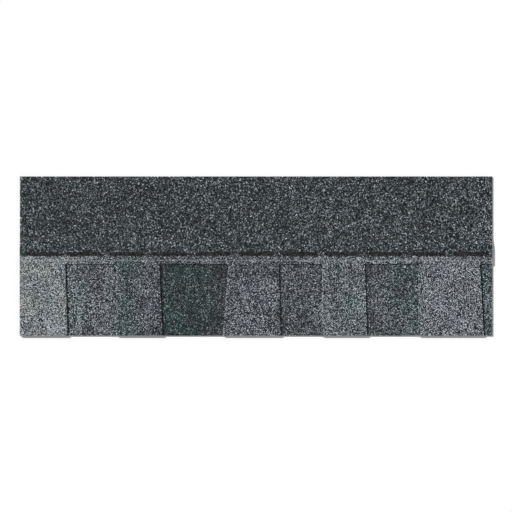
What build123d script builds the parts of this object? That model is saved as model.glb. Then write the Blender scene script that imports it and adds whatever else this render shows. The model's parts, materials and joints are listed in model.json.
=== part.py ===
"""A laminated asphalt shingle, lying face up on a level floor.

The shingle is two granule-surfaced sheets bonded face to face. The upper one, the tooth sheet, is
full height and its lower part is die-cut into five splayed teeth. The lower one, the backing
strip, closes the gaps between the teeth. Past the strip's upper edge nothing holds the tooth
sheet up, so it bends down and its headlap lies on the floor.

Millimetres. X runs along the course, Y up the slope from the butt edge to the top edge, and Z up
from the floor. The origin is on the floor, under the middle of the shingle.
"""

from build123d import *
import os

# Driving dimensions of the standard metric shingle
LENGTH = 1000.0
HEIGHT = 337.0
EXPOSURE = 143.0
SHEET = 2.4

# Tooth sheet: the teeth run up to the root line, which the next course covers
ROOT_LAP = 9.0
ROOT_RADIUS = 2.0
# Each tooth: left edge and width at the root line, then how far each side splays by the butt edge
TEETH = (
    (0.0, 96.0, 0.0, 5.0),
    (205.0, 90.0, 0.0, 7.0),
    (442.0, 106.0, 12.0, 4.0),
    (641.0, 89.0, 2.0, 5.0),
    (844.0, 130.0, 0.0, 8.0),
)

# Backing strip: it reaches past the root line, so that both layers take the nails
DOUBLE_BAND = 32.0
BEND_RUN = 26.0

# Self-sealing adhesive, in dashes on the face, and the film that keeps it off the next shingle
DASH_COUNT = 11
DASH_LENGTH = 75.0
DASH_WIDTH = 10.0
DASH_THICKNESS = 0.8
DASH_SIDE_LEAN = 55.0
DASH_ABOVE_ROOT = 21.0
FILM_WIDTH = 32.0
FILM_THICKNESS = 0.15
FILM_BELOW_STRIP_TOP = 4.0

# Worked out from the above
LEFT_END = -LENGTH / 2
BUTT = -HEIGHT / 2
TOP_EDGE = HEIGHT / 2
ROOT_LINE = BUTT + EXPOSURE + ROOT_LAP
STRIP_TOP = ROOT_LINE + DOUBLE_BAND
FACE = 2 * SHEET
DASH_LINE = ROOT_LINE + DASH_ABOVE_ROOT
DASH_PITCH = LENGTH / DASH_COUNT
FILM_TOP = STRIP_TOP - FILM_BELOW_STRIP_TOP
CUT_MARGIN = 5.0

os.makedirs("parts", exist_ok=True)


def tooth_corners(tooth):
    """The tooth's left and right edges at the root line, then at the butt edge."""
    left, width, left_splay, right_splay = tooth
    left_root = LEFT_END + left
    right_root = left_root + width
    return left_root, right_root, left_root - left_splay, right_root + right_splay


def on_past(root, butt):
    """The X at which a side from root to butt meets a line below the butt edge."""
    return butt + (butt - root) * CUT_MARGIN / (ROOT_LINE - BUTT)


# Tooth sheet: the bent section, run along the course, then the gaps cut out between the teeth
with BuildPart() as tooth_sheet:
    with BuildSketch(Plane.YZ.offset(LEFT_END)):
        with BuildLine():
            strip_land = Line((BUTT, SHEET), (STRIP_TOP, SHEET))
            crest = TangentArc((STRIP_TOP, SHEET), (STRIP_TOP + BEND_RUN / 2, SHEET / 2), tangent=(1, 0))
            trough = TangentArc(crest @ 1, (STRIP_TOP + BEND_RUN, 0), tangent=crest % 1)
            headlap = Line(trough @ 1, (TOP_EDGE, 0))
            offset(amount=SHEET, side=Side.LEFT)
        make_face()
    extrude(amount=LENGTH)

    # The last gap runs out through the right end, so it has one root corner instead of two
    for tooth, neighbour in zip(TEETH, TEETH[1:] + (None,)):
        _, gap_left, _, gap_left_butt = tooth_corners(tooth)
        if neighbour:
            gap_right, _, gap_right_butt, _ = tooth_corners(neighbour)
        else:
            gap_right = gap_right_butt = LEFT_END + LENGTH + CUT_MARGIN
        with BuildSketch() as gap:
            with BuildLine():
                Polyline(
                    (gap_left, ROOT_LINE),
                    (gap_right, ROOT_LINE),
                    (on_past(gap_right, gap_right_butt), BUTT - CUT_MARGIN),
                    (on_past(gap_left, gap_left_butt), BUTT - CUT_MARGIN),
                    close=True,
                )
            make_face()
            root_corners = gap.vertices().group_by(Axis.Y)[-1].filter_by(lambda v: v.X < LEFT_END + LENGTH)
            fillet(root_corners, radius=ROOT_RADIUS)
        extrude(amount=FACE + CUT_MARGIN, mode=Mode.SUBTRACT)

# Backing strip: flush with the teeth at the butt edge, with the film's bed in its back
with BuildPart() as backing_strip:
    with BuildSketch():
        with Locations((0, (BUTT + STRIP_TOP) / 2)):
            Rectangle(LENGTH, STRIP_TOP - BUTT)
    extrude(amount=SHEET)
    with BuildSketch():
        with Locations((0, FILM_TOP - FILM_WIDTH / 2)):
            Rectangle(LENGTH, FILM_WIDTH)
    extrude(amount=FILM_THICKNESS, mode=Mode.SUBTRACT)

# Release film: pressed flush into the back while the coating is hot
with BuildPart() as release_film:
    with BuildSketch():
        with Locations((0, FILM_TOP - FILM_WIDTH / 2)):
            Rectangle(LENGTH, FILM_WIDTH)
    extrude(amount=FILM_THICKNESS)

# Sealing dashes: low beads with round ends and sides that lean in, in one row along the face
dashes = []
for number in range(DASH_COUNT):
    middle = LEFT_END + DASH_PITCH * (number + 0.5)
    with BuildPart() as dash:
        with BuildSketch(Plane(origin=(middle, DASH_LINE, FACE))):
            SlotOverall(DASH_LENGTH, DASH_WIDTH)
        extrude(amount=DASH_THICKNESS, taper=DASH_SIDE_LEAN)
    dash.part.label = f"seal_dash_{number + 1:02d}"
    dashes.append(dash.part)

tooth_sheet.part.label = "tooth_sheet"
backing_strip.part.label = "backing_strip"
release_film.part.label = "release_film"

for piece in (tooth_sheet.part, backing_strip.part, release_film.part, *dashes):
    export_step(piece, f"parts/{piece.label}.step")
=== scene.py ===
"""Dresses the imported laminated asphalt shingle: granule coats, seal beads, cut edges, back and film.

The shingle lies face up on a pale floor and the camera looks straight down on it. Metres throughout,
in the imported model's own frame: X along the course, Y up the slope, Z up from the floor.
"""

from __future__ import annotations

import json
import logging
import math
from collections.abc import Callable, Sequence
from dataclasses import dataclass, field
from enum import Enum, IntEnum

import bpy
import numpy as np
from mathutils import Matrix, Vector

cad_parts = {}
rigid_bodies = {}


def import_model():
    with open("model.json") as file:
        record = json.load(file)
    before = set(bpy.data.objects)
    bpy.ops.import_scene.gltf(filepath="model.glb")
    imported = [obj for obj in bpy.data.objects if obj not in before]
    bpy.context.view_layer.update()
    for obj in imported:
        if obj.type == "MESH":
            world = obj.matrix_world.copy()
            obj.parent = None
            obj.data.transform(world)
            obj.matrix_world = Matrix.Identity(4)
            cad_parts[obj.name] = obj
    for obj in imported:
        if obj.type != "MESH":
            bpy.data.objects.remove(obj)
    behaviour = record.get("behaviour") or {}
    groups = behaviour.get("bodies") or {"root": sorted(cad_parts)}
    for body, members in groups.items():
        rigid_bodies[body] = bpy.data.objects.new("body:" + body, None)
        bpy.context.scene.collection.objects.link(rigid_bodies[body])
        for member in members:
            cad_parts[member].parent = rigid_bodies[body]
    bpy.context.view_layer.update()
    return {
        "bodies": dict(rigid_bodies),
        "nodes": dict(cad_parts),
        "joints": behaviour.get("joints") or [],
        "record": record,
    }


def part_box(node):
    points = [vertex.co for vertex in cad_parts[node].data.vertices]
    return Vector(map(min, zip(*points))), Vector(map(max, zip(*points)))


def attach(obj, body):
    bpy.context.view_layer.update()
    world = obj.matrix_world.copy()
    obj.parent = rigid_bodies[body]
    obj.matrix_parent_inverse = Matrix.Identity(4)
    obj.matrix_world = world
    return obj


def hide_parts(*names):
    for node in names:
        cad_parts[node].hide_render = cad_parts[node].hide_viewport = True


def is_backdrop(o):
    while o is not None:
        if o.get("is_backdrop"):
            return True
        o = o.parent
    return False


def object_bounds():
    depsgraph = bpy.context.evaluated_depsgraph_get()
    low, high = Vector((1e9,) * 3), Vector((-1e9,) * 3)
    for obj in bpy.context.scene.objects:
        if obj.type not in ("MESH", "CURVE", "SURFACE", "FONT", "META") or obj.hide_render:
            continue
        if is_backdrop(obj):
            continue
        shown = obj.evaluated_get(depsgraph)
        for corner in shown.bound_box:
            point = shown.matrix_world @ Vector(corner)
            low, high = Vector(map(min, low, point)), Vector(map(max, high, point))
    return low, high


MM = 0.001
BODY = "root"
# Knots along each side of the square nets that drift() is read from
KNOTS = 256
# How much lighter the split stones along a die-cut edge are
SPLIT_PALER = 0.08
# How far apart the seeds of two beads are
BEAD_STEP = 10
# The Mix node's sockets where it mixes colours: the share, the lower and the upper colour, the result
MIX_SHARE, MIX_BASE, MIX_OVER, MIX_RESULT = 0, 6, 7, 2
log = logging.getLogger("shingle")

Line = Callable[[np.ndarray], np.ndarray]
ColourField = Callable[[np.ndarray, np.ndarray], tuple[np.ndarray, np.ndarray]]
Colour = tuple[float, float, float]
Factors = tuple[float, float, float]
# Two values: the least and the greatest, or where a mask begins and where it is full
Span = tuple[float, float]


class Seed(IntEnum):
    """Where the random numbers of each part start."""

    SHEET_BLENDS = 11
    STRIP_BLENDS = 31
    BLEND_END = 77
    HEADLAP_CLOUDS = 78
    TEETH = 100
    HEADLAP = 200
    GAPS = 400
    BEADS = 500


class Blend(Enum):
    """The granule blends dropped on the sheets, as (lightness, tint).

    Lightness shifts the share of pale granules, and tint runs from heather (-1) to pine (+1).
    """

    STONE = (0.19, 0.05)
    FOG = (0.07, -0.40)
    SLATE = (0.03, 0.05)
    SAGE = (0.02, 0.45)
    HEATHER = (-0.03, -0.50)
    DUSK = (-0.07, -0.15)
    MOSS = (-0.06, 0.70)
    SPRUCE = (-0.02, 0.60)
    PINE = (-0.17, 0.90)
    INK = (-0.19, -0.10)
    HEADLAP = (-0.13, 0.10)

    @property
    def lightness(self) -> float:
        """How far the blend leans to pale granules."""
        return self.value[0]

    @property
    def tint(self) -> float:
        """Where the blend stands between heather and pine."""
        return self.value[1]


@dataclass(frozen=True)
class Bay:
    """A die-cut tooth and the gap on its right.

    Attributes:
        left: how far the tooth's left side is from the shingle's left end, at the root line.
        width: how wide the tooth is there.
        left_splay: how far its left side splays outwards down to the butt edge.
        right_splay: the same of its right side.
        tooth_blends: the blends on the tooth, from left to right.
        gap_blends: the blends on the backing strip in the gap, from left to right.
    """

    left: float
    width: float
    left_splay: float
    right_splay: float
    tooth_blends: tuple[Blend, ...]
    gap_blends: tuple[Blend, ...]


# From the left end to the right, where the last gap is cut off by the shingle's right end
BAYS = (
    Bay(0, 96 * MM, 0, 5 * MM, (Blend.STONE, Blend.STONE), (Blend.SAGE, Blend.HEATHER, Blend.SLATE)),
    Bay(
        205 * MM,
        90 * MM,
        0,
        7 * MM,
        (Blend.MOSS, Blend.HEATHER),
        (Blend.PINE, Blend.PINE, Blend.PINE, Blend.INK),
    ),
    Bay(442 * MM, 106 * MM, 12 * MM, 4 * MM, (Blend.HEATHER, Blend.HEATHER), (Blend.DUSK, Blend.DUSK)),
    Bay(641 * MM, 89 * MM, 2 * MM, 5 * MM, (Blend.SLATE, Blend.SAGE), (Blend.DUSK, Blend.MOSS)),
    Bay(844 * MM, 130 * MM, 0, 8 * MM, (Blend.FOG, Blend.FOG), (Blend.SPRUCE, Blend.SPRUCE)),
)


@dataclass(frozen=True)
class Plan:
    """The shingle's main lines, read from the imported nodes, and the shape of its upper face.

    Attributes:
        left_end, right_end: the X of its ends.
        butt, top_edge: the Y of its lower and its upper edge.
        sheet: how thick one sheet is.
        strip_top: the Y of the backing strip's upper edge.
        exposure: how much of a laid shingle shows, up from the butt edge.
        root_lap: how far the gaps run on under the next course.
        nail_above_root: how far the nail line is above the root line.
        seal_above_root: how far the middle of the seal beads is above it.
        bend_run: how far up the slope the sheet takes to come down to the floor.
    """

    left_end: float
    right_end: float
    butt: float
    top_edge: float
    sheet: float
    strip_top: float
    exposure: float = 143 * MM
    root_lap: float = 9 * MM
    nail_above_root: float = 7 * MM
    seal_above_root: float = 21 * MM
    bend_run: float = 26 * MM

    @classmethod
    def from_frame(cls) -> Plan:
        """Reads the ends, edges and thickness from the two sheets' boxes.

        Returns:
            The plan.
        """
        low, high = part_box("tooth_sheet")
        _, strip_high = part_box("backing_strip")
        return cls(low.x, high.x, low.y, high.y, strip_high.z, strip_high.y)

    @property
    def root_line(self) -> float:
        """Where the gaps between the teeth end."""
        return self.butt + self.exposure + self.root_lap

    @property
    def nail_line(self) -> float:
        """The middle of the painted nail line."""
        return self.root_line + self.nail_above_root

    @property
    def seal_line(self) -> float:
        """The middle line of the seal beads."""
        return self.root_line + self.seal_above_root

    @property
    def bend_end(self) -> float:
        """Where the tooth sheet has come down to the floor."""
        return self.strip_top + self.bend_run

    def upright(self, x: float) -> Line:
        """A side that runs straight up the slope at one X."""
        return lambda y: np.full_like(y, x)

    def tooth_side(self, root: float, splay: float, aside: float) -> Line:
        """The X of a tooth side: root at the root line, moved by splay at the butt edge.

        Args:
            root: its X at the root line.
            splay: how far it moves by the butt edge, to the right if more than 0.
            aside: how far the whole side is moved.

        Returns:
            The side, straight below the root line and upright above it.
        """
        run = self.root_line - self.butt
        return lambda y: root + aside + splay * np.clip((self.root_line - y) / run, 0, 1)

    def strip_face(self, y: np.ndarray) -> np.ndarray:
        """The backing strip's upper face, which is level."""
        return np.full_like(y, self.sheet)

    def tooth_face(self, y: np.ndarray) -> np.ndarray:
        """The tooth sheet's upper face: level, then down an S of two arcs, then level again.

        The sheet's back drops by one thickness over the bend in two equal arcs, whose radius is
        (half run squared + half drop squared) / drop. The face is that back, one thickness away, so
        its crest arc is larger by a thickness and its trough arc is smaller by one.

        Args:
            y: places up the slope.

        Returns:
            The height of the face at each place.
        """
        half_run, drop = self.bend_run / 2, self.sheet
        radius = (half_run**2 + (drop / 2) ** 2) / drop
        crest, trough = radius + self.sheet, radius - self.sheet
        middle = self.strip_top + half_run * crest / radius
        past = np.clip(y - self.strip_top, 0, middle - self.strip_top)
        short = np.clip(self.bend_end - y, 0, self.bend_end - middle)
        over = 2 * self.sheet - crest + np.sqrt(crest**2 - past**2)
        under = self.sheet + trough - np.sqrt(trough**2 - short**2)
        return np.where(y < middle, over, under)


def drift(x: np.ndarray, y: np.ndarray, cell: float, seed: int) -> np.ndarray:
    """Smooth noise from -1 to 1: random values on a square net, eased between its knots.

    Args:
        x: places along the course.
        y: places up the slope.
        cell: the net's mesh width.
        seed: which net.

    Returns:
        The noise at each place.
    """
    knots = np.random.default_rng(seed).uniform(-1, 1, (KNOTS, KNOTS))
    column, row = x / cell + KNOTS / 2, y / cell + KNOTS / 2
    i, j = np.floor(column).astype(int), np.floor(row).astype(int)
    s, t = column - i, row - j
    s, t = s * s * (3 - 2 * s), t * t * (3 - 2 * t)
    i, j, i_next, j_next = i % KNOTS, j % KNOTS, (i + 1) % KNOTS, (j + 1) % KNOTS
    low = knots[j, i] * (1 - s) + knots[j, i_next] * s
    high = knots[j_next, i] * (1 - s) + knots[j_next, i_next] * s
    return low * (1 - t) + high * t


@dataclass(frozen=True)
class ColourRun:
    """The blends along one sheet, from its left end to its right, with soft uneven changes.

    Attributes:
        places: the X of each blend's middle.
        blends: the blends at those places.
        seed: where the random numbers start.
        wander: how far to one side a blend may be read off, over wander_size.
        cloud_size: how large the clouds in the blend are.
        cloud_lightness: how far they move the lightness.
        cloud_tint: how far they move the tint.
    """

    places: tuple[float, ...]
    blends: tuple[Blend, ...]
    seed: int
    wander: float = 9 * MM
    wander_size: float = 22 * MM
    cloud_size: float = 34 * MM
    cloud_lightness: float = 0.05
    cloud_tint: float = 0.45

    def at(self, x: np.ndarray, y: np.ndarray) -> tuple[np.ndarray, np.ndarray]:
        """The run's own blend, read off a little to one side, plus clouds.

        Args:
            x: places along the course.
            y: places up the slope.

        Returns:
            The lightness and the tint at each place.
        """
        read = x + self.wander * drift(x, y, self.wander_size, self.seed)
        lightness = np.interp(read, self.places, [b.lightness for b in self.blends])
        tint = np.interp(read, self.places, [b.tint for b in self.blends])
        lightness = lightness + self.cloud_lightness * drift(x, y, self.cloud_size, self.seed + 1)
        tint = tint + self.cloud_tint * drift(x, y, self.cloud_size, self.seed + 2)
        return lightness, tint


@dataclass
class PatchMesh:
    """The arrays of one closed patch.

    Attributes:
        points: the place of every point.
        corners: the point of every face corner.
        starts: the first corner of every face.
        on_top: whether each face is part of a stone and seen from above.
        stone_data: what each face's stone is like, under the names of the mesh's attributes.
    """

    points: np.ndarray
    corners: np.ndarray
    starts: np.ndarray
    on_top: np.ndarray
    stone_data: dict[str, np.ndarray]


@dataclass
class Coat:
    """One joined mesh of granules, filled patch by patch.

    Attributes:
        name: the object's name.
        patches: the patches so far.
        slides: how far each is moved along X in the flat map.
        hidden_band: the share of the flat map's height that the hidden faces get.
        shown_from: where the shown faces start above them.
    """

    name: str
    patches: list[PatchMesh] = field(default_factory=list)
    slides: list[float] = field(default_factory=list)
    hidden_band: float = 0.02
    shown_from: float = 0.03

    def add(self, patch: PatchMesh, slide: float = 0.0) -> None:
        """Joins one more patch to the mesh.

        Args:
            patch: the patch.
            slide: how far it is moved along X in the flat map, to leave no empty space there.
        """
        self.patches.append(patch)
        self.slides.append(slide)

    def build(self) -> bpy.types.Object:
        """Makes the mesh, its granule attributes and its flat map.

        Returns:
            The object, linked to the scene.
        """
        point_counts = [len(p.points) for p in self.patches]
        corner_counts = [len(p.corners) for p in self.patches]
        first_points = np.cumsum([0, *point_counts[:-1]])
        first_corners = np.cumsum([0, *corner_counts[:-1]])
        points = np.concatenate([p.points for p in self.patches])
        corners = np.concatenate([p.corners + n for p, n in zip(self.patches, first_points)])
        starts = np.concatenate([p.starts + n for p, n in zip(self.patches, first_corners)])
        mesh = bpy.data.meshes.new(self.name)
        mesh.vertices.add(len(points))
        mesh.vertices.foreach_set("co", points.astype(np.float32).ravel())
        mesh.loops.add(len(corners))
        mesh.loops.foreach_set("vertex_index", corners.astype(np.int32))
        mesh.polygons.add(len(starts))
        mesh.polygons.foreach_set("loop_start", starts.astype(np.int32))
        mesh.update(calc_edges=True)
        mesh.shade_flat()
        for key in self.patches[0].stone_data:
            values = np.concatenate([p.stone_data[key] for p in self.patches])
            attribute = mesh.attributes.new(key, "FLOAT", "FACE")
            attribute.data.foreach_set("value", values.astype(np.float32))
        mesh.uv_layers.new(name="OFBake").data.foreach_set("uv", self._flat_map(points, corners, starts))
        piece = bpy.data.objects.new(self.name, mesh)
        bpy.context.scene.collection.objects.link(piece)
        return piece

    def _flat_map(self, points: np.ndarray, corners: np.ndarray, starts: np.ndarray) -> np.ndarray:
        """The view from above, stretched over the map, with the hidden faces pressed into a band below.

        Args:
            points: every point of the mesh.
            corners: the point of every face corner.
            starts: the first corner of every face.

        Returns:
            U and V of every corner, in turn.
        """
        slides = np.repeat(self.slides, [len(p.points) for p in self.patches])
        seen = points[:, :2] + np.stack([slides, np.zeros_like(slides)], 1)
        low, high = seen.min(0), seen.max(0)
        flat = ((seen - low) / (high - low))[corners]
        on_top = np.concatenate([p.on_top for p in self.patches])
        shown = np.repeat(on_top, np.diff(np.append(starts, len(corners))))
        upper = self.shown_from + (1 - self.shown_from) * flat[:, 1]
        flat[:, 1] = np.where(shown, upper, self.hidden_band * flat[:, 1])
        return flat.astype(np.float32).ravel()


@dataclass
class GranuleNet:
    """A net of points over one face of a sheet, from which patches of granules are cut.

    The net is triangular, and its step is the granule pitch over root 3. With net coordinates a and
    b, the points where a - b divides by 3 are the stones' tops, and each triangle then has exactly
    one top. So every stone has six facets round one raised point. Each other point is a corner
    where three stones meet. It lies low between their tops, nearer to the smaller stones, and black
    asphalt shows there. Patches that meet share their border points, so no seam shows.

    Attributes:
        sides: lines up the slope, each the X of a side at any Y, left to right. The net's columns
            divide the spans between them evenly.
        lines: the Y of level lines, low to high. The rows divide the spans between them evenly.
        face: the height of the sheet's face at any Y.
        colours: the lightness and tint at any place.
        seed: where the random numbers start.
        pitch: how far apart the stones' tops are.
        stone: the least and the greatest rise of a stone's top over the face, as shares of the pitch.
        bed: the same for the corners between stones.
        rim: the least and the greatest rise of a cut edge.
        stray: how far a top may lie from its even place, as a share of the pitch.
        calm: how much of the stray is left beside a side or a line.
        bulk: the least and the greatest pull of a stone on its corners. A small stone pulls more.
        ragged: how far stones may stand out from a cut edge or stay short of it.
        margin: how far the next points stay from that edge.
        tuck: how far inside a patch's border its hidden twin stands.
        depth: how high that twin stands over the face. Less than 0 is under it.
        clump: how far the stones' own numbers drift together, over clump_size.
    """

    sides: Sequence[Line]
    lines: Sequence[float]
    face: Line
    colours: ColourField
    seed: int
    pitch: float
    stone: Span = (0.15, 0.41)
    bed: Span = (-0.15, 0.09)
    rim: Span = (-0.05 * MM, 0.30 * MM)
    stray: float = 0.38
    calm: float = 0.5
    bulk: Span = (0.45, 1.55)
    ragged: float = 0.28 * MM
    margin: float = 0.12 * MM
    tuck: float = 0.30 * MM
    depth: float = -0.60 * MM
    clump: float = 0.05
    clump_size: float = 3.2 * MM

    def __post_init__(self) -> None:
        """Lays out the whole net."""
        rng = np.random.default_rng(self.seed)
        step = self.pitch / math.sqrt(3)
        middle = np.full(1, (self.lines[0] + self.lines[-1]) / 2)
        widths = [float(b(middle)[0] - a(middle)[0]) for a, b in zip(self.sides, self.sides[1:])]
        depths = np.diff(self.lines) / (step * math.sqrt(3) / 2)
        self.side_columns = np.cumsum([0, *(max(2, round(w / step)) for w in widths)])
        self.line_rows = np.cumsum([0, *(2 * max(1, round(d / 2)) for d in depths)])

        j, i = np.mgrid[0 : self.line_rows[-1] + 1, 0 : self.side_columns[-1] + 1]
        shape = i.shape
        kind = (i - j // 2 - j) % 3
        self.is_top = kind == 0
        self.even_y = np.interp(j, self.line_rows, self.lines)
        self.even_x = self._spread(i + 0.5 * (j % 2), self.even_y)
        turn, reach = rng.uniform(0, 2 * math.pi, shape), np.sqrt(rng.uniform(0, 1, shape))
        reach = reach * self.stray * self.pitch
        for ends, spots in ((self.line_rows, reach), (self.side_columns, reach.T)):
            near = np.clip(ends[:, None] + np.arange(-1, 2), 0, ends[-1])
            spots[near] *= self.calm
        top_x, top_y = self.even_x + reach * np.cos(turn), self.even_y + reach * np.sin(turn)

        level = i + np.where(kind == 1, -1, 1)
        slanting = i + j % 2 - (kind == 2)
        near = [(j, level), (j + 1, slanting), (j - 1, slanting)]
        near = [(np.clip(r, 0, shape[0] - 1), np.clip(c, 0, shape[1] - 1)) for r, c in near]
        pull = rng.uniform(*self.bulk, shape)
        total = sum(pull[spot] for spot in near)
        self.x = np.where(self.is_top, top_x, sum(pull[spot] * top_x[spot] for spot in near) / total)
        self.y = np.where(self.is_top, top_y, sum(pull[spot] * top_y[spot] for spot in near) / total)

        rise = np.where(self.is_top, rng.uniform(*self.stone, shape), rng.uniform(*self.bed, shape))
        self.rise = rise * self.pitch
        self.rough_rim = rng.uniform(*self.rim, shape)
        self.rough_edge = self.ragged * rng.uniform(-1, 1, shape)
        self.split_and_highlight_paleness = np.zeros(shape)
        clumps = self.clump * drift(self.x, self.y, self.clump_size, self.seed)
        self.grain = rng.uniform(0, 1, shape) + clumps

    def _spread(self, column: np.ndarray, y: np.ndarray) -> np.ndarray:
        """Adds up the spans between the sides, each times how much of it lies to the left of a place.

        Args:
            column: the places' columns, also between two whole ones.
            y: the places' Y.

        Returns:
            The places' X.
        """
        x = self.sides[0](y)
        spans = zip(self.sides, self.sides[1:], self.side_columns, self.side_columns[1:])
        for left, right, first, last in spans:
            x = x + (right(y) - left(y)) * np.clip((column - first) / (last - first), 0, 1)
        return x

    def column_near(self, x: float) -> int:
        """The column nearest to an X on the topmost row."""
        return int(np.abs(self.x[-1] - x).argmin())

    def cut_side(self, side: int, rows: slice, pale_split_and_highlight: float = SPLIT_PALER) -> None:
        """Makes a die-cut edge of one side's points: straight but for the stones, with a rough rim.

        Args:
            side: which of the sides.
            rows: the rows it runs through.
            pale_split_and_highlight: how much lighter the split stones along it are, with any painted
                highlight on the side.
        """
        edge = self.sides[side]
        column = int(self.side_columns[side])
        spot = np.s_[rows, column]
        self.even_x[spot] = edge(self.even_y[spot])
        self.x[spot] = edge(self.y[spot]) + self.rough_edge[spot]
        self.rise[spot] = self.rough_rim[spot]
        clear = self.ragged + self.margin
        if column > 0:
            beside = np.s_[rows, column - 1]
            self.x[beside] = np.minimum(self.x[beside], edge(self.y[beside]) - clear)
        if column < self.x.shape[1] - 1:
            beside = np.s_[rows, column + 1]
            self.x[beside] = np.maximum(self.x[beside], edge(self.y[beside]) + clear)
        # the split stones' paleness, which on a tooth's left side also holds a painted highlight
        self.split_and_highlight_paleness[rows, max(column - 1, 0) : column + 2] = pale_split_and_highlight

    def cut_line(self, line: int, columns: slice) -> None:
        """Makes a die-cut edge of one level line's points.

        Args:
            line: which of the lines.
            columns: the columns it runs through.
        """
        edge, row = self.lines[line], int(self.line_rows[line])
        spot = np.s_[row, columns]
        self.y[spot] = edge + self.rough_edge[spot]
        self.rise[spot] = self.rough_rim[spot]
        clear = self.ragged + self.margin
        if row > 0:
            self.y[row - 1, columns] = np.minimum(self.y[row - 1, columns], edge - clear)
        if row < self.y.shape[0] - 1:
            self.y[row + 1, columns] = np.maximum(self.y[row + 1, columns], edge + clear)
        self.split_and_highlight_paleness[max(row - 1, 0) : row + 2, columns] = SPLIT_PALER

    def keep_inside(self, low: tuple[float, float], high: tuple[float, float]) -> None:
        """Holds every point between two corners seen from above."""
        self.x, self.y = np.clip(self.x, low[0], high[0]), np.clip(self.y, low[1], high[1])

    def patch(self, rows: tuple[int, int], columns: tuple[int, int]) -> PatchMesh:
        """Cuts out one patch and closes it with a hidden skirt and bottom.

        Args:
            rows: its lowest and highest row.
            columns: its leftmost and rightmost column.

        Returns:
            The patch's arrays.
        """
        spot = np.s_[rows[0] : rows[1] + 1, columns[0] : columns[1] + 1]
        x, y, even_x, even_y, is_top, grain, split_and_highlight_paleness = (
            values[spot].ravel()
            for values in (self.x, self.y, self.even_x, self.even_y, self.is_top, self.grain, self.split_and_highlight_paleness)
        )
        points = np.stack([x, y, self.face(y) + self.rise[spot].ravel()], -1)
        grid = np.arange(len(points)).reshape(self.x[spot].shape)
        stones = self._facets(grid, rows[0] % 2)
        top_of = (stones * is_top[stones]).sum(1)
        hidden, twins = self._underside(grid, even_x, even_y)

        lightness, tint = self.colours(x, y)
        given = {"grain": grain, "lightness": lightness + split_and_highlight_paleness, "tint": tint}
        data = {key: np.append(values[top_of], np.zeros(len(hidden))) for key, values in given.items()}
        corners = np.concatenate([stones.ravel(), *hidden])
        sizes = np.append(np.full(len(stones), 3), [len(f) for f in hidden])
        starts = np.cumsum(sizes) - sizes
        on_top = np.append(np.ones(len(stones), bool), np.zeros(len(hidden), bool))
        return PatchMesh(np.concatenate([points, twins]), corners, starts, on_top, data)

    @staticmethod
    def _facets(grid: np.ndarray, first_row: int) -> np.ndarray:
        """Makes the net's triangles, two to a cell, leaning the way each row is set off.

        Args:
            grid: the point numbers of a patch, row by row.
            first_row: 1 if its first row is set off by half a step, or else 0.

        Returns:
            Three point numbers for each triangle.
        """
        a, b, c, d = (q.ravel() for q in (grid[:-1, :-1], grid[:-1, 1:], grid[1:, :-1], grid[1:, 1:]))
        even = (np.arange(grid.shape[0] - 1) + first_row) % 2 == 0
        even = np.repeat(even, grid.shape[1] - 1)[:, None]
        first = np.where(even, np.stack([a, b, c], 1), np.stack([a, b, d], 1))
        second = np.where(even, np.stack([b, d, c], 1), np.stack([a, d, c], 1))
        return np.concatenate([first, second])

    def _underside(
        self, grid: np.ndarray, even_x: np.ndarray, even_y: np.ndarray
    ) -> tuple[list[np.ndarray], np.ndarray]:
        """Closes a patch: each border point has a twin under the face, a little further in.

        Args:
            grid: the point numbers of the patch, row by row.
            even_x: the X of those points' even places, where the twins stand.
            even_y: the Y of the same.

        Returns:
            The faces of the skirt and the bottom, and the places of the twins.
        """
        border = np.concatenate([grid[0], grid[1:, -1], grid[-1, -2::-1], grid[-2:0:-1, 0]])
        inward = np.zeros((2, *grid.shape))
        inward[0, :, 0] = inward[1, 0] = self.tuck
        inward[0, :, -1] = inward[1, -1] = -self.tuck
        inward_x, inward_y = inward.reshape(2, -1)[:, border]
        x, y = even_x[border] + inward_x, even_y[border] + inward_y
        twins = np.stack([x, y, self.face(y) + self.depth], -1)
        twin_of = np.full(grid.size, -1)
        twin_of[border] = grid.size + np.arange(len(border))

        following = np.roll(border, -1)
        skirt = np.stack([following, border, twin_of[border], twin_of[following]], 1)
        low, high = twin_of[grid[0]], twin_of[grid[-1]]
        lefts, rights = twin_of[grid[1:-1, 0]], twin_of[grid[1:-1, -1]]
        strips = np.stack([lefts[:-1], lefts[1:], rights[1:], rights[:-1]], 1)
        first = np.concatenate([[low[0], lefts[0], rights[0]], low[:0:-1]])
        last = np.concatenate([[lefts[-1]], high, [rights[-1]]])
        return [*skirt, first, *strips, last], twins


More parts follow.
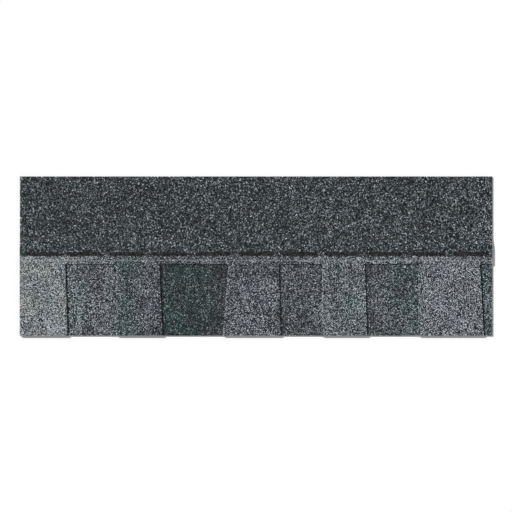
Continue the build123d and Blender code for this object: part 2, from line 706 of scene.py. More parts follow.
@dataclass
class Bench:
    """The place where a finish is put together.

    Attributes:
        tree: the finish's node tree.
    """

    tree: bpy.types.NodeTree

    def __post_init__(self) -> None:
        """Empties the tree."""
        self.tree.nodes.clear()

    @classmethod
    def for_material(cls, name: str) -> tuple[bpy.types.Material, Bench]:
        """Starts a new material.

        Args:
            name: the material's name.

        Returns:
            The material and the bench for its tree.
        """
        material = bpy.data.materials.new(name)
        material.use_nodes = True
        return material, cls(material.node_tree)

    def node(
        self, kind: str, settings: dict | None = None, sockets: dict | None = None
    ) -> bpy.types.Node:
        """Adds one node.

        Args:
            kind: the node's type, without its ShaderNode prefix.
            settings: its properties, set first. "stops" is a ramp's list of (place, colour).
            sockets: the value of, or the signal into, each named or numbered input.

        Returns:
            The node.
        """
        made = self.tree.nodes.new("ShaderNode" + kind)
        for key, value in (settings or {}).items():
            if key == "stops":
                self._set_stops(made.color_ramp, value)
            else:
                setattr(made, key, value)
        for key, value in (sockets or {}).items():
            if isinstance(value, Signal):
                self.tree.links.new(value.socket, made.inputs[key])
            else:
                made.inputs[key].default_value = value
        return made

    @staticmethod
    def _set_stops(ramp: bpy.types.ColorRamp, stops: Sequence[tuple[float, Sequence[float]]]) -> None:
        """Gives a ramp its stops, each held until the next.

        Args:
            ramp: the ramp.
            stops: each stop's place and colour.
        """
        ramp.interpolation = "CONSTANT"
        while len(ramp.elements) < len(stops):
            ramp.elements.new(1.0)
        for element, (place, colour) in zip(ramp.elements, stops):
            element.position, element.color = place, (*colour, 1.0)

    def signal(
        self, kind: str, settings: dict | None = None, sockets: dict | None = None, out: int | str = 0
    ) -> Signal:
        """Adds one node and gives the signal of one of its outputs."""
        return Signal(self, self.node(kind, settings, sockets).outputs[out])

    def attribute(self, name: str) -> Signal:
        """The value of a piece's own attribute."""
        return self.signal("Attribute", {"attribute_name": name}, out="Fac")

    def place(self) -> Signal:
        """The point of the surface, in metres in the shingle's frame."""
        return self.signal("TexCoord", out="Object")

    def axis(self, letter: str) -> Signal:
        """One coordinate of the surface point."""
        return self.signal("SeparateXYZ", sockets={0: self.place()}, out=letter)

    def noise(
        self,
        size: float,
        detail: float = 2.0,
        rough: float = 0.5,
        squeeze: Factors | None = None,
    ) -> Signal:
        """Noise round 0.5.

        Args:
            size: about how wide its lumps are.
            detail: how many finer layers it has.
            rough: how strong each layer is next to the one before.
            squeeze: factors on X, Y and Z, where less than 1 draws the lumps out.

        Returns:
            The noise.
        """
        place = self.place()
        if squeeze:
            place = self.signal("Mapping", sockets={"Vector": place, "Scale": squeeze})
        sockets = {"Vector": place, "Scale": 1 / size, "Detail": detail, "Roughness": rough}
        return self.signal("TexNoise", sockets=sockets, out="Fac")

    def cells(self, size: float, out: str = "Distance") -> Signal:
        """Cells about size wide: the distance to the nearest middle, or a colour for each cell."""
        return self.signal("TexVoronoi", sockets={"Vector": self.place(), "Scale": 1 / size}, out=out)

    def mix(self, share: Signal | float, base: Signal | tuple, over: Signal | tuple) -> Signal:
        """Lays one colour over another.

        Args:
            share: how much of the upper colour shows.
            base: the lower colour.
            over: the upper colour.

        Returns:
            The mixed colour.
        """
        colours = {MIX_BASE: base, MIX_OVER: over}
        full = {k: c if isinstance(c, Signal) else (*c, 1.0) for k, c in colours.items()}
        return self.signal("Mix", {"data_type": "RGBA"}, {MIX_SHARE: share, **full}, MIX_RESULT)

    def dyed(self, share: Signal, base: Signal, dye: tuple) -> Signal:
        """Multiplies a colour by a dye.

        Args:
            share: how much of the dye the colour takes on.
            base: the colour.
            dye: the dye.

        Returns:
            The dyed colour.
        """
        settings = {"data_type": "RGBA", "blend_type": "MULTIPLY"}
        sockets = {MIX_SHARE: share, MIX_BASE: base, MIX_OVER: (*dye, 1.0)}
        return self.signal("Mix", settings, sockets, MIX_RESULT)

    def scaled(self, colour: Signal, factor: Signal) -> Signal:
        """A colour made brighter or darker by a factor."""
        return self.signal("VectorMath", {"operation": "SCALE"}, {0: colour, "Scale": factor})

    def finish(
        self, colour: Signal, roughness: Signal | float, height: Signal, depth: float, **shader: float
    ) -> None:
        """Ends the material in a principled shader with a bump.

        Args:
            colour: the base colour.
            roughness: the roughness.
            height: the bump's height, from 0 to 1.
            depth: how high a 1 stands, in metres.
            shader: plain values of the shader's other sockets, with spaces as underscores.
        """
        bump_sockets = {"Height": height, "Distance": depth, "Strength": 1.0}
        bump = self.signal("Bump", sockets=bump_sockets, out="Normal")
        plain = {key.replace("_", " "): value for key, value in shader.items()}
        sockets = {"Base Color": colour, "Roughness": roughness, "Normal": bump, **plain}
        surface = self.signal("BsdfPrincipled", sockets=sockets)
        self.node("OutputMaterial", sockets={"Surface": surface})


@dataclass(frozen=True)
class Signal:
    """A node's output, with arithmetic that adds Math nodes.

    Attributes:
        bench: where the nodes are added.
        socket: the output.
    """

    bench: Bench
    socket: bpy.types.NodeSocket

    def _math(self, operation: str, first: Signal | float, second: Signal | float = 0.0) -> Signal:
        """The result of one Math node."""
        return self.bench.signal("Math", {"operation": operation}, {0: first, 1: second})

    def __add__(self, other: Signal | float) -> Signal:
        """Self plus other."""
        return self._math("ADD", self, other)

    __radd__ = __add__

    def __sub__(self, other: Signal | float) -> Signal:
        """Self less other."""
        return self._math("SUBTRACT", self, other)

    def __rsub__(self, other: float) -> Signal:
        """A number less self."""
        return self._math("SUBTRACT", other, self)

    def __mul__(self, other: Signal | float) -> Signal:
        """Self times other."""
        return self._math("MULTIPLY", self, other)

    __rmul__ = __mul__

    def size(self) -> Signal:
        """Self without its sign."""
        return self._math("ABSOLUTE", self)

    def step_up(self, low: float, high: float) -> Signal:
        """0 below low, 1 above high, and eased between them. With low above high it falls."""
        settings = {"interpolation_type": "SMOOTHSTEP"}
        return self.bench.signal("MapRange", settings, {0: self, 1: low, 2: high})

    def within(self, low: float, high: float) -> Signal:
        """Low where self is 0, high where it is 1, and in proportion between them."""
        return self * (high - low) + low

    def scatter(self, draw: float) -> Signal:
        """A random number from 0 to 1 for each value. Another draw gives other numbers."""
        settings = {"noise_dimensions": "1D"}
        return self.bench.signal("TexWhiteNoise", settings, {"W": self * draw}, out="Value")


@dataclass(frozen=True)
class GranuleFinish:
    """Ceramic-coated granules: each stone has one shade of the blend, a dye, and a grit of its own.

    Attributes:
        nail_line: the Y of the painted nail line.
        shades: the colour of a stone whose number is at least the one named, dark to pale.
        pine, heather, buff: the dyes, by which a shade is multiplied.
        stray_draw, lot_draw: which draws give the stray pale stones and each stone's lot.
        stray: the mask on the first draw for the stones that are pale in any blend.
        stray_lift: how far such a stone's number is raised.
        dye_edge: how softly the dyed stones start.
        undyed: the mask on a stone's number, which falls as the stone gets pale.
        dye_share: how much of its dye a pale stone and a dark one take on.
        buff_size, buff_patch: how large the buff patches are, and the mask on their noise.
        buff_blend: the mask on the lightness for the blends that turn buff.
        grit_size, grit_height: how large the grit on a stone is, and how high it stands.
        grit_painted_shade: how bright a stone's colour is in the low and on the high spots of its grit,
            a painted
        shade in its hollows and a painted highlight on its tops.
        roughness: how rough the smoothest and the roughest stones are.
        reflection: how strongly they reflect.
        paint: the colour of the nail line.
        line_width: how wide the line is.
        ragged, ragged_size: how far its sides wander in, and over what length.
        paint_edge: the mask on the way past half the width, with the wandering counted in.
        missed_size, missed: how large the spots are that the paint has missed, and the mask that
            leaves them out.
        cover: how much of the stones the paint hides.
    """

    nail_line: float
    shades: tuple[tuple[float, Colour], ...] = (
        (0.00, (0.003, 0.004, 0.004)),
        (0.28, (0.0162, 0.0205, 0.0231)),
        (0.44, (0.0482, 0.0575, 0.0643)),
        (0.61, (0.123, 0.142, 0.1575)),
        (0.77, (0.295, 0.326, 0.358)),
        (0.90, (0.650, 0.690, 0.735)),
    )
    pine: Colour = (0.64, 1.00, 0.92)
    heather: Colour = (1.00, 0.94, 1.05)
    buff: Colour = (1.03, 1.01, 0.93)
    stray_draw: float = 91.0
    lot_draw: float = 37.0
    stray: Span = (0.930, 0.935)
    stray_lift: float = 0.30
    dye_edge: Span = (-0.1, 0.1)
    undyed: Span = (0.95, 0.60)
    dye_share: Span = (0.25, 1.0)
    buff_size: float = 42 * MM
    buff_patch: Span = (0.38, 0.66)
    buff_blend: Span = (0.06, 0.16)
    grit_size: float = 0.35 * MM
    grit_height: float = 0.10 * MM
    grit_painted_shade: Span = (0.55, 1.45)
    roughness: Span = (0.62, 0.87)
    reflection: float = 0.1
    paint: Colour = (0.50, 0.51, 0.50)
    line_width: float = 2.4 * MM
    ragged: float = 1.6 * MM
    ragged_size: float = 2.2 * MM
    paint_edge: Span = (0.9 * MM, 0.6 * MM)
    missed_size: float = 1.3 * MM
    missed: Span = (0.58, 0.42)
    cover: float = 0.6

    def make(self) -> bpy.types.Material:
        """Puts the granule material together.

        The stone's own number, moved by the blend's lightness, picks its shade, and a few stones
        are pale in any blend. A share of the stones, larger the further the tint is from 0, takes
        on pine or heather, and the palest blends turn buff in patches.

        Returns:
            The material.
        """
        material, bench = Bench.for_material("granules")
        grain, lightness, tint = (bench.attribute(k) for k in ("grain", "lightness", "tint"))
        stray = grain.scatter(self.stray_draw).step_up(*self.stray)
        number = grain + lightness + stray * self.stray_lift
        shade = bench.signal("ValToRGB", {"stops": self.shades}, {0: number}, out="Color")

        lot = grain.scatter(self.lot_draw)
        takes_dye = number.step_up(*self.undyed).within(*self.dye_share)
        green = (tint - lot).step_up(*self.dye_edge) * takes_dye
        purple = (tint * -1.0 - lot).step_up(*self.dye_edge) * takes_dye
        patchy = bench.noise(self.buff_size, detail=1.0).step_up(*self.buff_patch)
        warm = patchy * lightness.step_up(*self.buff_blend)
        colour = shade
        for share, dye in ((green, self.pine), (purple, self.heather), (warm, self.buff)):
            colour = bench.dyed(share, colour, dye)

        grit = bench.noise(self.grit_size, detail=3.0, rough=0.6)
        # painted shade and highlight: the stone's colour is darker in the grit's hollows and lighter on
        # its tops
        colour = bench.scaled(colour, grit.within(*self.grit_painted_shade))
        colour = bench.mix(self._painted(bench) * self.cover, colour, self.paint)
        roughness = lot.within(*self.roughness)
        bench.finish(colour, roughness, grit, self.grit_height, Specular_IOR_Level=self.reflection)
        return material

    def _painted(self, bench: Bench) -> Signal:
        """Finds where the nail line's paint lies: a band with ragged sides and missed spots.

        Args:
            bench: the material's bench.

        Returns:
            1 on the paint and 0 off it.
        """
        off_line = (bench.axis("Y") - self.nail_line).size()
        ragged = bench.noise(self.ragged_size) * self.ragged
        edge = (self.line_width / 2 + past for past in self.paint_edge)
        band = (off_line + ragged).step_up(*edge)
        return band * bench.noise(self.missed_size, detail=3.0).step_up(*self.missed)


@dataclass(frozen=True)
class AsphaltFinish:
    """The sheets' filled asphalt: black on the face and the cut edges, parting sand on the back.

    Attributes:
        coating: the asphalt's colour.
        fragment: the colour of the broken granules in a cut edge.
        parting: the colour of the sand.
        edge_tilt: the mask on the normal's Z, without its sign, for a cut edge.
        back_tilt: the mask on the normal's Z for the back.
        lump_size: how large the coating's lumps are.
        speck_size, speck: how large the broken granules are, and their mask.
        dust_size, dust: how large the fine sand is, and its mask.
        sand_size, sand: the same of the coarse sand.
        grades: how much the fine and the coarse sand count.
        patch_size, patch: how large the patches are where more sand sticks, and their mask.
        streak_size, streak: how wide the rollers' streaks are, and their mask.
        drawn_out: how the streaks are drawn out along the course.
        held: how much sand the patches and the streaks add, and how much lies everywhere.
        speck_cover: how much of the asphalt a speck hides.
        speck_height: how high it stands next to the lumps.
        roughness: how rough the face and the back are.
        relief: how high the lumps stand.
    """

    coating: Colour = (0.011, 0.011, 0.012)
    fragment: Colour = (0.16, 0.165, 0.17)
    parting: Colour = (0.175, 0.170, 0.160)
    edge_tilt: Span = (0.6, 0.4)
    back_tilt: Span = (-0.6, -0.8)
    lump_size: float = 0.8 * MM
    speck_size: float = 0.7 * MM
    speck: Span = (0.32, 0.22)
    dust_size: float = 0.5 * MM
    dust: Span = (0.40, 0.62)
    sand_size: float = 1.3 * MM
    sand: Span = (0.40, 0.66)
    grades: tuple[float, float] = (0.4, 0.6)
    patch_size: float = 17 * MM
    patch: Span = (0.36, 0.66)
    streak_size: float = 5 * MM
    streak: Span = (0.36, 0.64)
    drawn_out: Factors = (0.06, 1.0, 1.0)
    held: tuple[float, float, float] = (0.45, 0.30, 0.25)
    speck_cover: float = 0.8
    speck_height: float = 0.5
    roughness: Span = (0.55, 0.80)
    relief: float = 0.25 * MM

    def make(self) -> bpy.types.Material:
        """Puts the material of the bare sheet together.

        Broken granules show as specks on the cut edges, and the back is dusted with sand, which
        lies in patches and in streaks along the course.

        Returns:
            The material.
        """
        material, bench = Bench.for_material("filled_asphalt")
        normal = bench.signal("NewGeometry", out="Normal")
        upward = bench.signal("SeparateXYZ", sockets={0: normal}, out="Z")
        is_edge = upward.size().step_up(*self.edge_tilt)
        is_back = upward.step_up(*self.back_tilt)
        lump = bench.noise(self.lump_size, detail=4.0, rough=0.6)
        speck = bench.cells(self.speck_size).step_up(*self.speck)
        dust = bench.noise(self.dust_size, detail=4.0, rough=0.7).step_up(*self.dust)
        sand = bench.cells(self.sand_size, out="Color").step_up(*self.sand)
        patchy = bench.noise(self.patch_size, detail=4.0, rough=0.6).step_up(*self.patch)
        rolled = bench.noise(self.streak_size, detail=3.0, squeeze=self.drawn_out).step_up(*self.streak)

        fine, coarse = self.grades
        by_patch, by_streak, everywhere = self.held
        cover = (dust * fine + sand * coarse) * (patchy * by_patch + rolled * by_streak + everywhere)
        colour = bench.mix(is_edge * speck * self.speck_cover, self.coating, self.fragment)
        colour = bench.mix(is_back * cover, colour, self.parting)
        height = lump + speck * is_edge * self.speck_height
        bench.finish(colour, is_back.within(*self.roughness), height, self.relief)
        return material


@dataclass(frozen=True)
class SealFinish:
    """Self-sealing asphalt: soft, glossy and slightly lumpy, with some dust pressed into it.

    Attributes:
        pitch_black: its colour.
        bloom: the dull grey film that clouds it.
        dust: the colour of the grains on it.
        cloud_size, cloud: how large the clouds are, and their mask.
        dull: the mask on the clouds for the roughness.
        roughness: how rough the clear and the clouded asphalt are.
        reflection: how strongly they reflect.
        dusting_size, dusting: how large the places with grains are, and their mask.
        grain_size, grain: how large the grains are, and their mask.
        grain_cover: how much of the asphalt a grain hides.
        grain_height: how high it stands next to the skin's lumps.
        skin_size, relief: how large those lumps are, and how high they stand.
    """

    pitch_black: Colour = (0.004, 0.004, 0.005)
    bloom: Colour = (0.034, 0.033, 0.032)
    dust: Colour = (0.22, 0.225, 0.23)
    cloud_size: float = 4.5 * MM
    cloud: Span = (0.40, 0.72)
    dull: Span = (0.3, 0.8)
    roughness: Span = (0.14, 0.36)
    reflection: float = 0.14
    dusting_size: float = 9 * MM
    dusting: Span = (0.42, 0.62)
    grain_size: float = 0.9 * MM
    grain: Span = (0.26, 0.16)
    grain_cover: float = 0.8
    grain_height: float = 0.3
    skin_size: float = 2.6 * MM
    relief: float = 0.55 * MM

    def make(self) -> bpy.types.Material:
        """Puts the seal material together.

        Returns:
            The material.
        """
        material, bench = Bench.for_material("soft_asphalt")
        cloudy = bench.noise(self.cloud_size, detail=3.0)
        dusted = bench.noise(self.dusting_size).step_up(*self.dusting)
        grain = bench.cells(self.grain_size).step_up(*self.grain) * dusted
        colour = bench.mix(cloudy.step_up(*self.cloud), self.pitch_black, self.bloom)
        colour = bench.mix(grain * self.grain_cover, colour, self.dust)
        height = bench.noise(self.skin_size) + grain * self.grain_height
        roughness = cloudy.step_up(*self.dull).within(*self.roughness)
        bench.finish(colour, roughness, height, self.relief, Specular_IOR_Level=self.reflection)
        return material


@dataclass(frozen=True)
class FilmFinish:
    """Clear release film pressed on black coating: glossy, with faint wrinkles across the run.

    Attributes:
        under: the colour of the coating seen through the film.
        crease: the colour of a crease.
        wrinkle_size: how far apart the wrinkles are.
        drawn_out: how they are drawn out across the film.
        ridge: the mask on how far the noise is from its middle, for a wrinkle's sharp ridge.
        patch_size, patch: how large the places are where the creases show more, and their mask.
        crease_share: how much of the crease's colour shows, outside those places and in them.
        ridge_height: how high a ridge stands next to the soft wrinkle under it.
        roughness: how rough the flat film and a ridge are.
        gloss: how much clear coat lies over both.
        relief: how high the wrinkles stand.
    """

    under: Colour = (0.030, 0.030, 0.032)
    crease: Colour = (0.105, 0.106, 0.108)
    wrinkle_size: float = 5 * MM
    drawn_out: Factors = (1.0, 0.16, 1.0)
    ridge: Span = (0.028, 0.0)
    patch_size: float = 30 * MM
    patch: Span = (0.35, 0.65)
    crease_share: Span = (0.1, 0.5)
    ridge_height: float = 0.4
    roughness: Span = (0.12, 0.32)
    gloss: float = 0.5
    relief: float = 0.3 * MM

    def make(self) -> bpy.types.Material:
        """Puts the film material together.

        Returns:
            The material.
        """
        material, bench = Bench.for_material("clear_film")
        wrinkle = bench.noise(self.wrinkle_size, squeeze=self.drawn_out)
        ridge = (wrinkle - 0.5).size().step_up(*self.ridge)
        patchy = bench.noise(self.patch_size).step_up(*self.patch)
        colour = bench.mix(ridge * patchy.within(*self.crease_share), self.under, self.crease)
        height = wrinkle + ridge * self.ridge_height
        bench.finish(colour, ridge.within(*self.roughness), height, self.relief, Coat_Weight=self.gloss)
        return material


def dress(piece: bpy.types.Object, material: bpy.types.Material) -> None:
    """Gives a new piece its material and slot, and lets it ride on the shingle.

    Args:
        piece: the new piece.
        material: its finish.
    """
    piece.data.materials.append(material)
    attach(piece, BODY)
    log.info("%s: %d faces", piece.name, len(piece.data.polygons))


@dataclass(frozen=True)
class Layers:
    """The two sheets and the release film, whose CAD solids stay as they are.

    Attributes:
        frame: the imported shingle.
    """

    frame: dict

    def dress(self) -> None:
        """Gives each solid its finish."""
        sheet, film = AsphaltFinish().make(), FilmFinish().make()
        for node, finish in (("tooth_sheet", sheet), ("backing_strip", sheet), ("release_film", film)):
            self.frame["nodes"][node].material_slots[0].material = finish
            log.info("%s: finish %s", node, finish.name)


@dataclass
class GranuleFace:
    """All the granule coats of the shingle, in pieces of a handy size.

    Attributes:
        plan: the shingle's main lines.
        bays: its teeth and gaps.
        pitch: how far apart the stones are where the shingle stays in view.
        headlap_pitch: the same on the headlap.
        strip_count: how many strips the long coats are divided into.
        gap_groups: the gaps that share a coat, each by the number of the tooth on its left.
        overrun: how far the two grades run past the seal line into each other.
        under_tooth: how far a gap's coat runs in under the teeth.
        blend_end: how far above the root line the blends end.
        blend_fade: over what width they pass into the headlap's plain stone.
        fade_wander: how far that border wanders, over fade_wander_size.
        plain_cloud: how far the headlap's lightness wanders, over plain_cloud_size.
        split_and_highlit_edge: how much lighter the split stones on a tooth's left side are, with a
            painted highlight where that side faces the lamp.
        split_edge_away_from_lamp: the same on its right side, kept less pale there as a painted shade.
        painted_shadow_band: how wide the painted shadow beside a tooth's right side is, a dark band of
            stones where the tooth's cast shadow falls.
        painted_shadow_fade: over what width that painted shadow ends.
        painted_shadow_drop: how much darker its stones are painted.
    """

    plan: Plan
    bays: tuple[Bay, ...] = BAYS
    pitch: float = 1.45 * MM
    headlap_pitch: float = 1.95 * MM
    strip_count: int = 4
    gap_groups: tuple[tuple[int, ...], ...] = ((0, 1), (2, 3, 4))
    overrun: float = 0.6 * MM
    under_tooth: float = 0.9 * MM
    blend_end: float = 14 * MM
    blend_fade: float = 4 * MM
    fade_wander: float = 3 * MM
    fade_wander_size: float = 5 * MM
    plain_cloud: float = 0.03
    plain_cloud_size: float = 60 * MM
    split_and_highlit_edge: float = 0.22
    split_edge_away_from_lamp: float = 0.05
    painted_shadow_band: float = 3.6 * MM
    painted_shadow_fade: float = 1.2 * MM
    painted_shadow_drop: float = 0.32

    def __post_init__(self) -> None:
        """Works out the teeth's ends on the root line."""
        self.lefts = [self.plan.left_end + bay.left for bay in self.bays]
        self.rights = [left + bay.width for left, bay in zip(self.lefts, self.bays)]

    def _left_side(self, k: int, outwards: float = 0.0) -> Line:
        """The left side of tooth k, or a line just outside it."""
        bay = self.bays[k]
        return self.plan.tooth_side(self.lefts[k], -bay.left_splay, -outwards)

    def _right_side(self, k: int, outwards: float = 0.0) -> Line:
        """The right side of tooth k, or a line just outside it."""
        return self.plan.tooth_side(self.rights[k], self.bays[k].right_splay, outwards)

    @staticmethod
    def _run(seed: int, spans: Sequence[tuple[float, float, tuple[Blend, ...]]]) -> ColourRun:
        """Lays each span's blends out evenly between its ends.

        Args:
            seed: where the run's random numbers start.
            spans: each span's left end, right end and blends.

        Returns:
            The run.
        """
        places: list[float] = []
        blends: list[Blend] = []
        for start, end, drops in spans:
            inset = (end - start) / (2 * len(drops))
            places += list(np.linspace(start + inset, end - inset, len(drops)))
            blends += drops
        return ColourRun(tuple(places), tuple(blends), seed)

    def _sheet_colours(self) -> ColourField:
        """The tooth sheet's colours: the run of blends up to their end, then the headlap's stone.

        Returns:
            The lightness and tint as a function of the place.
        """
        spans = [(a, b, bay.tooth_blends) for a, b, bay in zip(self.lefts, self.rights, self.bays)]
        run = self._run(Seed.SHEET_BLENDS, spans)
        end = self.plan.root_line + self.blend_end
        plain = Blend.HEADLAP

        def at(x: np.ndarray, y: np.ndarray) -> tuple[np.ndarray, np.ndarray]:
            """The blend at each place.

            Args:
                x: places along the course.
                y: places up the slope.

            Returns:
                The lightness and the tint.
            """
            lightness, tint = run.at(x, y)
            wander = self.fade_wander * drift(x, y, self.fade_wander_size, Seed.BLEND_END)
            share = np.clip((y + wander - end) / self.blend_fade, 0, 1)
            clouds = self.plain_cloud * drift(x, y, self.plain_cloud_size, Seed.HEADLAP_CLOUDS)
            lightness = lightness * (1 - share) + (plain.lightness + clouds) * share
            return lightness, tint * (1 - share) + plain.tint * share

        return at

    def _strip_colours(self) -> ColourField:
        """The backing strip's colours, which show in the gaps, with a painted shadow beside each tooth's
        right side.

        Returns:
            The lightness and tint as a function of the place.
        """
        ends = [*self.lefts[1:], self.plan.right_end]
        spans = [(a, b, bay.gap_blends) for a, b, bay in zip(self.rights, ends, self.bays)]
        run = self._run(Seed.STRIP_BLENDS, spans)
        sides = [self._right_side(k) for k in range(len(self.bays))]

        def at(x: np.ndarray, y: np.ndarray) -> tuple[np.ndarray, np.ndarray]:
            """The blend at each place.

            Args:
                x: places along the course.
                y: places up the slope.

            Returns:
                The lightness and the tint.
            """
            lightness, tint = run.at(x, y)
            beyond = np.stack([x - side(y) for side in sides])
            nearest = np.where(beyond > -2 * self.under_tooth, beyond, np.inf).min(0)
            # painted shadow: stones beside each tooth's right side are darkened where the tooth's cast
            # shadow falls
            share = np.clip((self.painted_shadow_band - nearest) / self.painted_shadow_fade + 0.5, 0, 1)
            return lightness - self.painted_shadow_drop * share, tint

        return at

    def build(self) -> None:
        """Builds and dresses every coat."""
        finish = GranuleFinish(self.plan.nail_line).make()
        colours = self._sheet_colours()
        sheet = [*self._tooth_coats(colours), *self._headlap_coats(colours)]
        gaps = [self._gap_coat(number, group) for number, group in enumerate(self.gap_groups, 1)]
        for coats, slot in ((sheet, "tooth_granules"), (gaps, "backing_granules")):
            for coat in coats:
                dress(coat.build(), finish)

    def _keep_on_sheet(self, net: GranuleNet) -> None:
        """Holds a net's points within the shingle's outline."""
        net.keep_inside((self.plan.left_end, self.plan.butt), (self.plan.right_end, self.plan.top_edge))

    def _ends(self) -> np.ndarray:
        """The X of the ends of the equal strips that the long coats are divided into."""
        return np.linspace(self.plan.left_end, self.plan.right_end, self.strip_count + 1)

    def _tooth_coats(self, colours: ColourField) -> list[Coat]:
        """The teeth and the band above them, up to the seal line, in one coat for each strip.

        The net's sides are the teeth's sides in turn. The first tooth's left side is the shingle's
        own end, and the last side is its other end. A tooth goes with the strip it starts in.

        Args:
            colours: the tooth sheet's colours.

        Returns:
            The coats, left to right.
        """
        plan = self.plan
        sides = [side(k) for k in range(len(self.bays)) for side in (self._left_side, self._right_side)]
        sides.append(plan.upright(plan.right_end))
        lines = (plan.butt, plan.root_line, plan.seal_line + self.overrun)
        net = GranuleNet(sides, lines, plan.tooth_face, colours, Seed.TEETH, self.pitch)
        butt, root, seal = net.line_rows
        for side in range(1, len(sides) - 1):
            is_left = side % 2 == 0
            # painted highlight: split stones on a tooth's left side are paler; those on its right side
            # are kept less pale as painted shade
            net.cut_side(side, slice(0, root + 1), self.split_and_highlit_edge if is_left else self.split_edge_away_from_lamp)
        for side in (0, -1):
            net.cut_side(side, slice(None))
        for start, end in zip(net.side_columns[1::2], net.side_columns[2::2]):
            net.cut_line(1, slice(start, end + 1))
        net.cut_line(0, slice(None))
        self._keep_on_sheet(net)

        coats = []
        ends = self._ends()
        for number, (start, end) in enumerate(zip(ends, ends[1:]), 1):
            coat = Coat(f"granules_teeth_{number}")
            for k, left in enumerate(self.lefts):
                if start <= left < end:
                    coat.add(net.patch((butt, root), tuple(net.side_columns[2 * k : 2 * k + 2])))
            coat.add(net.patch((root, seal), (net.column_near(start), net.column_near(end))))
            coats.append(coat)
        return coats

    def _headlap_coats(self, colours: ColourField) -> list[Coat]:
        """The headlap above the seal line, which is strewn with a coarser grade.

        Args:
            colours: the tooth sheet's colours.

        Returns:
            The coats, left to right.
        """
        plan = self.plan
        sides = (plan.upright(plan.left_end), plan.upright(plan.right_end))
        lines = (plan.seal_line - self.overrun, plan.top_edge)
        net = GranuleNet(sides, lines, plan.tooth_face, colours, Seed.HEADLAP, self.headlap_pitch)
        for side in (0, -1):
            net.cut_side(side, slice(None))
        net.cut_line(-1, slice(None))
        self._keep_on_sheet(net)
        ends = [net.column_near(x) for x in self._ends()]
        coats = []
        for number, columns in enumerate(zip(ends, ends[1:]), 1):
            coat = Coat(f"granules_headlap_{number}")
            coat.add(net.patch(tuple(net.line_rows), columns))
            coats.append(coat)
        return coats

    def _gap_coat(self, number: int, group: Sequence[int]) -> Coat:
        """A coat on the backing strip, one patch to a gap. Each runs in a little under the teeth.

        Args:
            number: the coat's number.
            group: its gaps, each by the number of the tooth on its left.

        Returns:
            The coat.
        """
        plan, under = self.plan, self.under_tooth
        coat = Coat(f"granules_gaps_{number}")
        colours = self._strip_colours()
        lines = (plan.butt, plan.root_line + under)
        mapped = 0.0
        for k in group:
            is_last = k + 1 == len(self.bays)
            end = plan.right_end if is_last else self.lefts[k + 1]
            right = plan.upright(end) if is_last else self._left_side(k + 1, -under)
            sides = (self._right_side(k, -under), right)
            net = GranuleNet(sides, lines, plan.strip_face, colours, Seed.GAPS + k, self.pitch)
            net.cut_line(0, slice(None))
            if is_last:
                net.cut_side(1, slice(None))
            self._keep_on_sheet(net)
            patch = net.patch(tuple(net.line_rows), tuple(net.side_columns))
            coat.add(patch, mapped - self.rights[k])
            mapped += end - self.rights[k] + 2 * under
        return coat


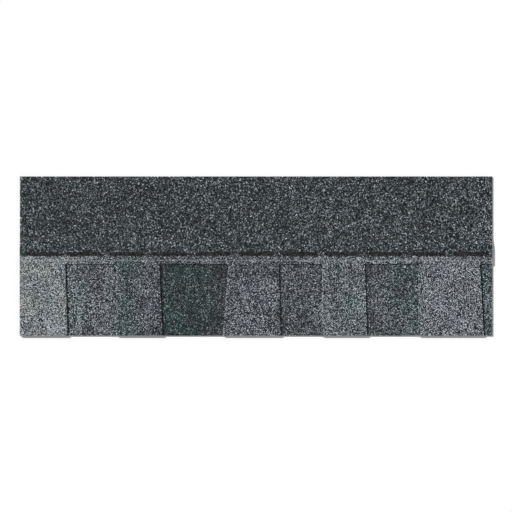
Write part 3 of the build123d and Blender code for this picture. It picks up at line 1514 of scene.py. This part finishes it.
@dataclass(frozen=True)
class SealBead:
    """One dash of sealing asphalt, which replaces its plain CAD solid.

    Attributes:
        node: the solid's node.
        seed: where the bead's random numbers start.
        rings: how many rings it has along its length.
        round_count: how many points each ring has.
        crown: the power that rounds the bead's top. Less than 1 makes it squarer.
        end_fall: the power by which the top falls off towards the ends.
        wobble: how far its sides run in, as a share of the half width.
        flow_sizes: how long the sides' large and small waves are.
        flow_shares: how much each of them counts.
        flow_aside: how far from the middle a side's waves are read, in half widths.
        lumps: how far its top sinks, as a share of the height, over lump_size.
    """

    node: str
    seed: int
    rings: int = 64
    round_count: int = 20
    crown: float = 0.55
    end_fall: float = 0.7
    wobble: float = 0.16
    flow_sizes: tuple[float, float] = (7 * MM, 3 * MM)
    flow_shares: tuple[float, float] = (0.6, 0.4)
    flow_aside: float = 4.0
    lumps: float = 0.20
    lump_size: float = 4.5 * MM

    def build(self, finish: bpy.types.Material) -> None:
        """Puts the bead in its solid's place and dresses it.

        Args:
            finish: the bead's material.
        """
        bead = bpy.data.objects.new(self.node.replace("seal_dash", "seal_bead"), self._loaf())
        bpy.context.scene.collection.objects.link(bead)
        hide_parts(self.node)
        dress(bead, finish)

    def _loaf(self) -> bpy.types.Mesh:
        """Makes the bead's closed shape, set out ring by ring along its length.

        A ring's half width is that of a slot with round ends: the root of the end's radius squared
        less the squared way into the end. Each side runs in by a noise of its own. Over a ring the
        height is the sine of the angle, raised to the crown's power, with lumps, and the bottom is
        flat.

        Returns:
            The mesh.
        """
        low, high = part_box(self.node)
        half_length, half_width = (high.x - low.x) / 2, (high.y - low.y) / 2
        middle_x, middle_y = (high.x + low.x) / 2, (high.y + low.y) / 2
        angle = np.linspace(0, math.pi, self.rings + 2)[1:-1]
        along = -half_length * np.cos(angle)
        into_end = np.clip(np.abs(along) - (half_length - half_width), 0, half_width)
        width = np.sqrt(half_width**2 - into_end**2)
        share = (width / half_width)[:, None]
        turn = np.linspace(0, 2 * math.pi, self.round_count, endpoint=False)
        rise = np.maximum(np.sin(turn), 0) ** self.crown
        x = np.broadcast_to((middle_x + along)[:, None], (self.rings, self.round_count))
        side = np.broadcast_to(half_width * self.flow_aside * np.sign(np.cos(turn)), x.shape)
        waves = zip(self.flow_shares, self.flow_sizes, (self.seed, self.seed + 2))
        flow = sum(part * drift(x, side, size, seed) for part, size, seed in waves)
        y = middle_y + width[:, None] * (1 - self.wobble + self.wobble * flow) * np.cos(turn)
        swell = drift(x, y, self.lump_size, self.seed + 1)
        top = (high.z - low.z) * share**self.end_fall * (1 - self.lumps + self.lumps * swell)
        z = low.z + top * rise
        ends = [[middle_x - half_length, middle_y, low.z], [middle_x + half_length, middle_y, low.z]]
        points = np.concatenate([np.stack([x, y, z], -1).reshape(-1, 3), ends])

        grid = np.arange(self.rings * self.round_count).reshape(self.rings, self.round_count)
        beside = np.roll(grid, -1, axis=1)
        walls = np.stack([grid[:-1], beside[:-1], beside[1:], grid[1:]], -1).reshape(-1, 4)
        first, last = len(points) - 2, len(points) - 1
        caps = [(first, b, a) for a, b in zip(grid[0], beside[0])]
        caps += [(last, a, b) for a, b in zip(grid[-1], beside[-1])]
        mesh = bpy.data.meshes.new(self.node)
        mesh.from_pydata(points.tolist(), [], walls.tolist() + caps)
        mesh.polygons.foreach_set("use_smooth", [True] * len(mesh.polygons))
        return mesh


@dataclass(frozen=True)
class Studio:
    """The pale floor, the lamp, the white surroundings and the camera overhead.

    Attributes:
        camera_height: how far over the floor the camera is.
        view_width: how much of the floor's width it sees.
        sensor: its sensor's width in millimetres.
        far: how far it sees.
        key_strength, key_angle: the key lamp's strength and its width in the sky.
        key_elevation, key_azimuth: where it stands in the sky, the azimuth from +X towards +Y.
        sky: how strongly the surroundings light the shingle.
        floor_size, floor_grey: the floor's side and the grey that it throws back as light.
        floor_drop: how far under the shingle it lies.
    """

    camera_height: float = 3.0
    view_width: float = 1.085
    sensor: float = 36.0
    far: float = 100.0
    key_strength: float = 4.3
    key_angle: float = math.radians(4)
    key_elevation: float = math.radians(30)
    key_azimuth: float = math.radians(140)
    sky: float = 0.32
    floor_size: float = 40.0
    floor_grey: float = 0.85
    floor_drop: float = 0.05 * MM

    def build(self) -> None:
        """Sets up the floor, light and camera."""
        self._floor()
        self._key()
        self._sky()
        self._camera()

    def _floor(self) -> None:
        """A level floor just under the shingle. It is matte and pale, and the camera sees it white."""
        half, level = self.floor_size / 2, -self.floor_drop
        mesh = bpy.data.meshes.new("floor")
        square = [(-half, -half, level), (half, -half, level), (half, half, level), (-half, half, level)]
        mesh.from_pydata(square, [], [(0, 1, 2, 3)])
        floor = bpy.data.objects.new("floor", mesh)
        bpy.context.scene.collection.objects.link(floor)
        material, bench = Bench.for_material("floor_paper")
        seen = bench.signal("LightPath", out="Is Camera Ray")
        grey = (self.floor_grey,) * 3
        colour = bench.mix(seen, grey, (1.0, 1.0, 1.0))
        paper = bench.signal("BsdfDiffuse", sockets={"Color": colour})
        bench.node("OutputMaterial", sockets={"Surface": paper})
        mesh.materials.append(material)
        floor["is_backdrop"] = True

    def _key(self) -> None:
        """The key lamp, from the upper left at the photograph's low angle.

        A sun shines down its own -Z. Tipped by 90 degrees less its elevation and turned by its
        azimuth plus 90 degrees, it stands at that place in the sky.
        """
        lamp = bpy.data.lights.new("key", "SUN")
        lamp.energy, lamp.angle = self.key_strength, self.key_angle
        key = bpy.data.objects.new("key", lamp)
        key.rotation_euler = (math.pi / 2 - self.key_elevation, 0, self.key_azimuth + math.pi / 2)
        bpy.context.scene.collection.objects.link(key)

    def _sky(self) -> None:
        """A plain sky that lights at its own level, and is white seen directly, in gloss or through."""
        world = bpy.data.worlds.new("surroundings")
        world.use_nodes = True
        bench = Bench(world.node_tree)
        path = bench.node("LightPath")
        rays = ("Is Camera Ray", "Is Glossy Ray", "Is Transmission Ray")
        camera, glossy, through = (Signal(bench, path.outputs[name]) for name in rays)
        level = (camera + glossy + through).within(self.sky, 1.0)
        sockets = {"Color": (1.0, 1.0, 1.0, 1.0), "Strength": level}
        sky = bench.signal("Background", sockets=sockets)
        bench.node("OutputWorld", sockets={"Surface": sky})
        bpy.context.scene.world = world

    def _camera(self) -> None:
        """The camera, straight over the shingle's middle, with the slope's up as the picture's up."""
        lens = bpy.data.cameras.new("overhead")
        lens.sensor_width = self.sensor
        lens.lens = self.sensor * self.camera_height / self.view_width
        lens.clip_end = self.far
        camera = bpy.data.objects.new("overhead", lens)
        low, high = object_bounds()
        camera.location = ((low.x + high.x) / 2, (low.y + high.y) / 2, self.camera_height)
        bpy.context.scene.collection.objects.link(camera)
        bpy.context.scene.camera = camera
        bpy.context.scene.view_settings.view_transform = "Standard"


def corners(box: tuple) -> list[list[float]]:
    """A box's two corners as plain numbers."""
    return [list(corner) for corner in box]


def main() -> None:
    """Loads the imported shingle, dresses it and sets up the studio."""
    logging.basicConfig(level=logging.INFO, format="%(name)s %(message)s")
    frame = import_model()

    Layers(frame).dress()
    GranuleFace(Plan.from_frame()).build()
    seal = SealFinish().make()
    for number, node in enumerate(n for n in sorted(frame["nodes"]) if n.startswith("seal_dash")):
        SealBead(node, Seed.BEADS + BEAD_STEP * number).build(seal)
    Studio().build()


if __name__ == "__main__":
    main()
